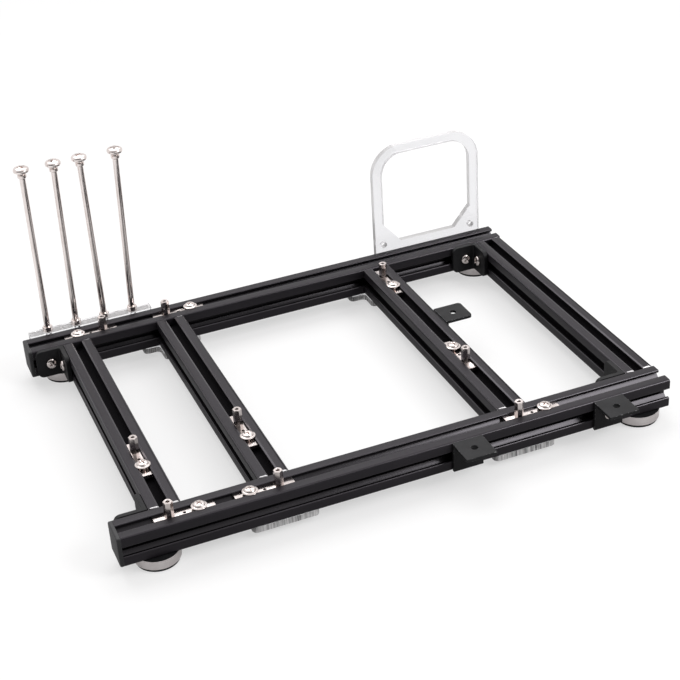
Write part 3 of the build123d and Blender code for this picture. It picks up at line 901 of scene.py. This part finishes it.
SCREW_HEAD = (3.65 * MM, 2.4 * MM, 0.9 * MM)  # its radius, its height and how high its rim goes
SCREW_SHANK = 2.0 * MM
SCREW_LENGTH = 9.0 * MM
SCREW_CROSS = 2.0 * MM
CORNER_WALL = 3.0 * MM
ANGLE_WALL = 2.0 * MM
STRIP_SCREW_OFFSET = 20.32 * MM
FAN_SCREW_OFFSET = 25.0 * MM
FAN_SHEET = 4.5 * MM
JOINT_SCREWS = ((-14 * MM, 0), (14 * MM, 0), (0, 17 * MM))
STEM_WAYS = {"second_front": 1, "second_back": -1, "third_front": 1, "third_back": -1}


def rail_of(stem_way):
    """The box of the rail that a joint plate holds, from the way that its stem points."""
    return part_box("rail_front" if stem_way > 0 else "rail_back")


screw_seats = []
for row, y_way in (("front", 1), ("back", -1)):
    for side in ("left", "right"):
        low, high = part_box(f"corner_bracket_{row}_{side}")
        middle = (low + high) / 2
        wall_y = (low.y if y_way > 0 else high.y) + y_way * CORNER_WALL
        screw_seats.append(seat_at((middle.x, wall_y, middle.z), (0, y_way, 0), twist=25))
        screw_seats.append(seat_at((high.x - CORNER_WALL, middle.y, middle.z), (-1, 0, 0), twist=60))
for name in ("front_middle", "front_right"):
    low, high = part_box(f"angle_bracket_{name}")
    middle = (low + high) / 2
    screw_seats.append(seat_at((middle.x, high.y - ANGLE_WALL, middle.z), (0, -1, 0), twist=40))
low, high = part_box("angle_bracket_inner")
middle = (low + high) / 2
screw_seats.append(seat_at((low.x + ANGLE_WALL, middle.y, middle.z), (1, 0, 0), twist=40))
for place, stem_way in STEM_WAYS.items():
    low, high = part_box(f"joint_plate_{place}")
    rail_low, rail_high = rail_of(stem_way)
    for x, y in JOINT_SCREWS:
        point = ((low.x + high.x) / 2 + x, (rail_low.y + rail_high.y) / 2 + stem_way * y, low.z)
        screw_seats.append(seat_at(point, (0, 0, -1), twist=30))
rail_low, rail_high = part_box("rail_back")
slot_z = (rail_low.z + rail_high.z) / 2
strip_low, strip_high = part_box("rod_strip")
fan_low, fan_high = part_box("fan_bracket")
for way in (-1, 1):
    strip_x = (strip_low.x + strip_high.x) / 2 + way * STRIP_SCREW_OFFSET
    screw_seats.append(seat_at((strip_x, strip_high.y, slot_z), (0, 1, 0), twist=15))
    fan_x = (fan_low.x + fan_high.x) / 2 + way * FAN_SCREW_OFFSET
    screw_seats.append(seat_at((fan_x, rail_high.y + FAN_SHEET, slot_z), (0, 1, 0), twist=50))
screw = crossed_head(*SCREW_HEAD, SCREW_SHANK, SCREW_LENGTH, SCREW_CROSS)
screw_shape = as_piece(screw, "screw_shape", smooth=30)
hand_over(repeated("frame_screws", screw_shape, screw_seats, nickel), "nickel", [nickel])

# Foot screws: flat heads with a pressed cross, sunk into the feet from below.
# They hold the feet to nuts in the rails' lower slots.

SUNK_HEAD = (4.0 * MM, 2.0 * MM)            # its radius and its depth
SUNK_EDGE = 0.12 * MM
SUNK_LENGTH = 11.0 * MM
SUNK_CROSS = 2.1 * MM
SUNK_BELOW = 0.1 * MM                       # how far the head lies inside the foot
SUNK_TWISTS = (10, 55, 30, 75)


def sunk_screw(reach):
    """A flat head whose top lies on z = 0, a cone below it, and the shank."""
    radius, depth = SUNK_HEAD
    rings = shank(SCREW_SHANK, SUNK_LENGTH, -depth)
    rings += [circle(radius, -SUNK_EDGE), circle(radius - SUNK_EDGE, 0), circle(0.8 * radius, 0)]
    for share, arm, height in ((1.05, 0.5, 0), (1.0, 0.42, -0.1 * MM), (0.55, 0.26, -1.5 * MM)):
        rings += [cross(share * reach, arm * reach, lambda distance: height)]
    return ringed(rings)


foot_seats = []
for twist, place in zip(SUNK_TWISTS, foot_places):
    low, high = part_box(f"foot_{place}")
    middle = (low + high) / 2
    foot_seats.append(seat_at((middle.x, middle.y, low.z + SUNK_BELOW), (0, 0, -1), twist))
sunk_shape = as_piece(sunk_screw(SUNK_CROSS), "sunk_shape", smooth=30)
hand_over(repeated("foot_screws", sunk_shape, foot_seats, nickel), "nickel", [nickel])

# Clear plates: the fan bracket and the card rods' strip here, and the joint plates below, cut by laser.
# The faces are polished, and the cut edges carry the beam's fine upright lines.

FAN_BRACKET_EDGE = 0.1 * MM
STRIP_EDGE = 0.25 * MM
SHEET_INDEX = 1.49                          # how strongly the plastic bends light
MELTED = ((0.10, 0.10, 0.11), (0.97, 0.96, 0.965))


def clear_sheet(name, normal_axis, tint, burnt, frosted=0.0):
    """Clear plastic sheet. The laser's lines cross the cut edges along the sheet's own normal.

    Tint is how much light it lets through.
    Burnt goes from 0, edges polished clear, to 1, edges left as the laser melted them.
    Frosted is how white and cloudy the edges are without any lines.
    """
    finish = Finish(name)
    place, _ = finish.axes()
    outward = finish.node("NewGeometry", output="Normal")
    face_on = finish.node("SeparateXYZ", None, {"Vector": outward}, normal_axis)
    edge = 1 - abs(face_on).between(0.5, 0.9)
    along_beam = tuple(0.03 if axis == normal_axis else 1.0 for axis in "XYZ")
    lines = finish.noise(place, scale=1100, roughness=0.6, stretch=along_beam)
    bands = finish.noise(place, scale=420, detail=3.0, roughness=0.7, stretch=along_beam)
    waves = finish.noise(place, scale=60)
    height = edge * burnt * (0.6 * lines + 0.4 * bands) + 0.1 * waves
    relief = finish.bump(height, depth=0.04 * MM, strength=0.7)
    clear_values = {
        "Base Color": (tint, tint, tint + 0.015, 1.0),
        "Roughness": edge * 0.2 * burnt + 0.012,
        "IOR": SHEET_INDEX,
        "Transmission Weight": 1.0,
        "Normal": relief,
    }
    clear = finish.node("BsdfPrincipled", None, clear_values)
    melt = bands.between(0.32, 0.48) + (1 - burnt)
    melted_values = {"Base Color": finish.blend(melt, *MELTED), "Roughness": 0.3, "Normal": relief}
    melted = finish.node("BsdfPrincipled", None, melted_values)
    cloudy = edge * (lines.between(0.25, 0.75, 0.45 * burnt, 0.95 * burnt) + frosted)
    shader = finish.node("MixShader", None, {0: cloudy, 1: clear, 2: melted})
    finish.node("OutputMaterial", None, {"Surface": shader})
    return finish.owner


clear_upright = clear_sheet("clear_upright_sheet", "Y", tint=0.82, burnt=0.06, frosted=0.42)
clear_strip = clear_sheet("clear_strip", "Y", tint=0.95, burnt=0.08, frosted=0.25)
fan_bracket = eased_copy("fan_bracket", FAN_BRACKET_EDGE)
hand_over(fan_bracket, "clear_acrylic", [clear_upright, clear_upright], "fan_bracket")
rod_strip = eased_copy("rod_strip", STRIP_EDGE)
hand_over(rod_strip, "clear_acrylic", [clear_strip, clear_strip], "rod_strip")

# Joint plates: clear T-shaped plates below the rails, one arm along the rail and a stem under the member.
# Three frame screws come up through each, and the cut edges are left as the laser melted them.

STEM_HALF = 10.0 * MM
JOINT_FILLET = 3.2 * MM
JOINT_HOLE = 2.25 * MM
JOINT_EDGE = 0.12 * MM
DRILL_LENGTH = 10.0 * MM


def joint_blank(node, stem_way):
    """A T-shaped plate in a node's box, with rounded corners and its stem pointing along Y or against it."""
    low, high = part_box(node)
    rail_low, rail_high = rail_of(stem_way)
    middle = (low + high) / 2
    outer, tip = (low.y, high.y) if stem_way > 0 else (high.y, low.y)
    shoulder = rail_high.y if stem_way > 0 else rail_low.y
    half_width = (high.x - low.x) / 2
    corners = [(-half_width, outer), (half_width, outer), (half_width, shoulder), (STEM_HALF, shoulder)]
    corners += [(STEM_HALF, tip), (-STEM_HALF, tip), (-STEM_HALF, shoulder), (-half_width, shoulder)]
    made = bmesh.new()
    under = made.faces.new([made.verts.new((middle.x + x, y, low.z)) for x, y in corners])
    over = bmesh.ops.extrude_face_region(made, geom=[under])["geom"]
    upper = [item for item in over if isinstance(item, bmesh.types.BMVert)]
    bmesh.ops.translate(made, verts=upper, vec=(0, 0, high.z - low.z))
    upright = [edge for edge in made.edges if edge.verts[0].co.z != edge.verts[1].co.z]
    bmesh.ops.bevel(made, geom=upright, offset=JOINT_FILLET, segments=8, profile=0.5, affect="EDGES")
    bmesh.ops.recalc_face_normals(made, faces=made.faces)
    return as_piece(made, f"{node}_blank")


def joint_drills(node, stem_way):
    """Round bars where a plate's screw holes go."""
    low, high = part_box(node)
    rail_low, rail_high = rail_of(stem_way)
    middle = (low + high) / 2
    rail_y = (rail_low.y + rail_high.y) / 2
    sizes = {"segments": 40, "radius1": JOINT_HOLE, "radius2": JOINT_HOLE, "depth": DRILL_LENGTH}
    made = bmesh.new()
    for x, y in JOINT_SCREWS:
        centre = Matrix.Translation((middle.x + x, rail_y + stem_way * y, middle.z))
        bmesh.ops.create_cone(made, cap_ends=True, matrix=centre, **sizes)
    return as_piece(made, f"{node}_drills")


def joint_plate(node, stem_way):
    """A plate with its holes cut through and all its rims eased."""
    blank = joint_blank(node, stem_way)
    drills = joint_drills(node, stem_way)
    holes = blank.modifiers.new("holes", "BOOLEAN")
    holes.operation = "DIFFERENCE"
    holes.solver = "EXACT"
    holes.object = drills
    graph = bpy.context.evaluated_depsgraph_get()
    made = bmesh.new()
    made.from_mesh(blank.evaluated_get(graph).to_mesh())
    bpy.data.objects.remove(blank)
    bpy.data.objects.remove(drills)
    make_faces_whole(made)
    ease(made, sharp_edges(made, 60), JOINT_EDGE)
    return as_piece(made, f"{node}_cut")


clear_flat = clear_sheet("clear_flat_sheet", "Z", tint=0.95, burnt=1.0)
for place, stem_way in STEM_WAYS.items():
    node = f"joint_plate_{place}"
    hand_over(joint_plate(node, stem_way), "clear_acrylic", [clear_flat], node)
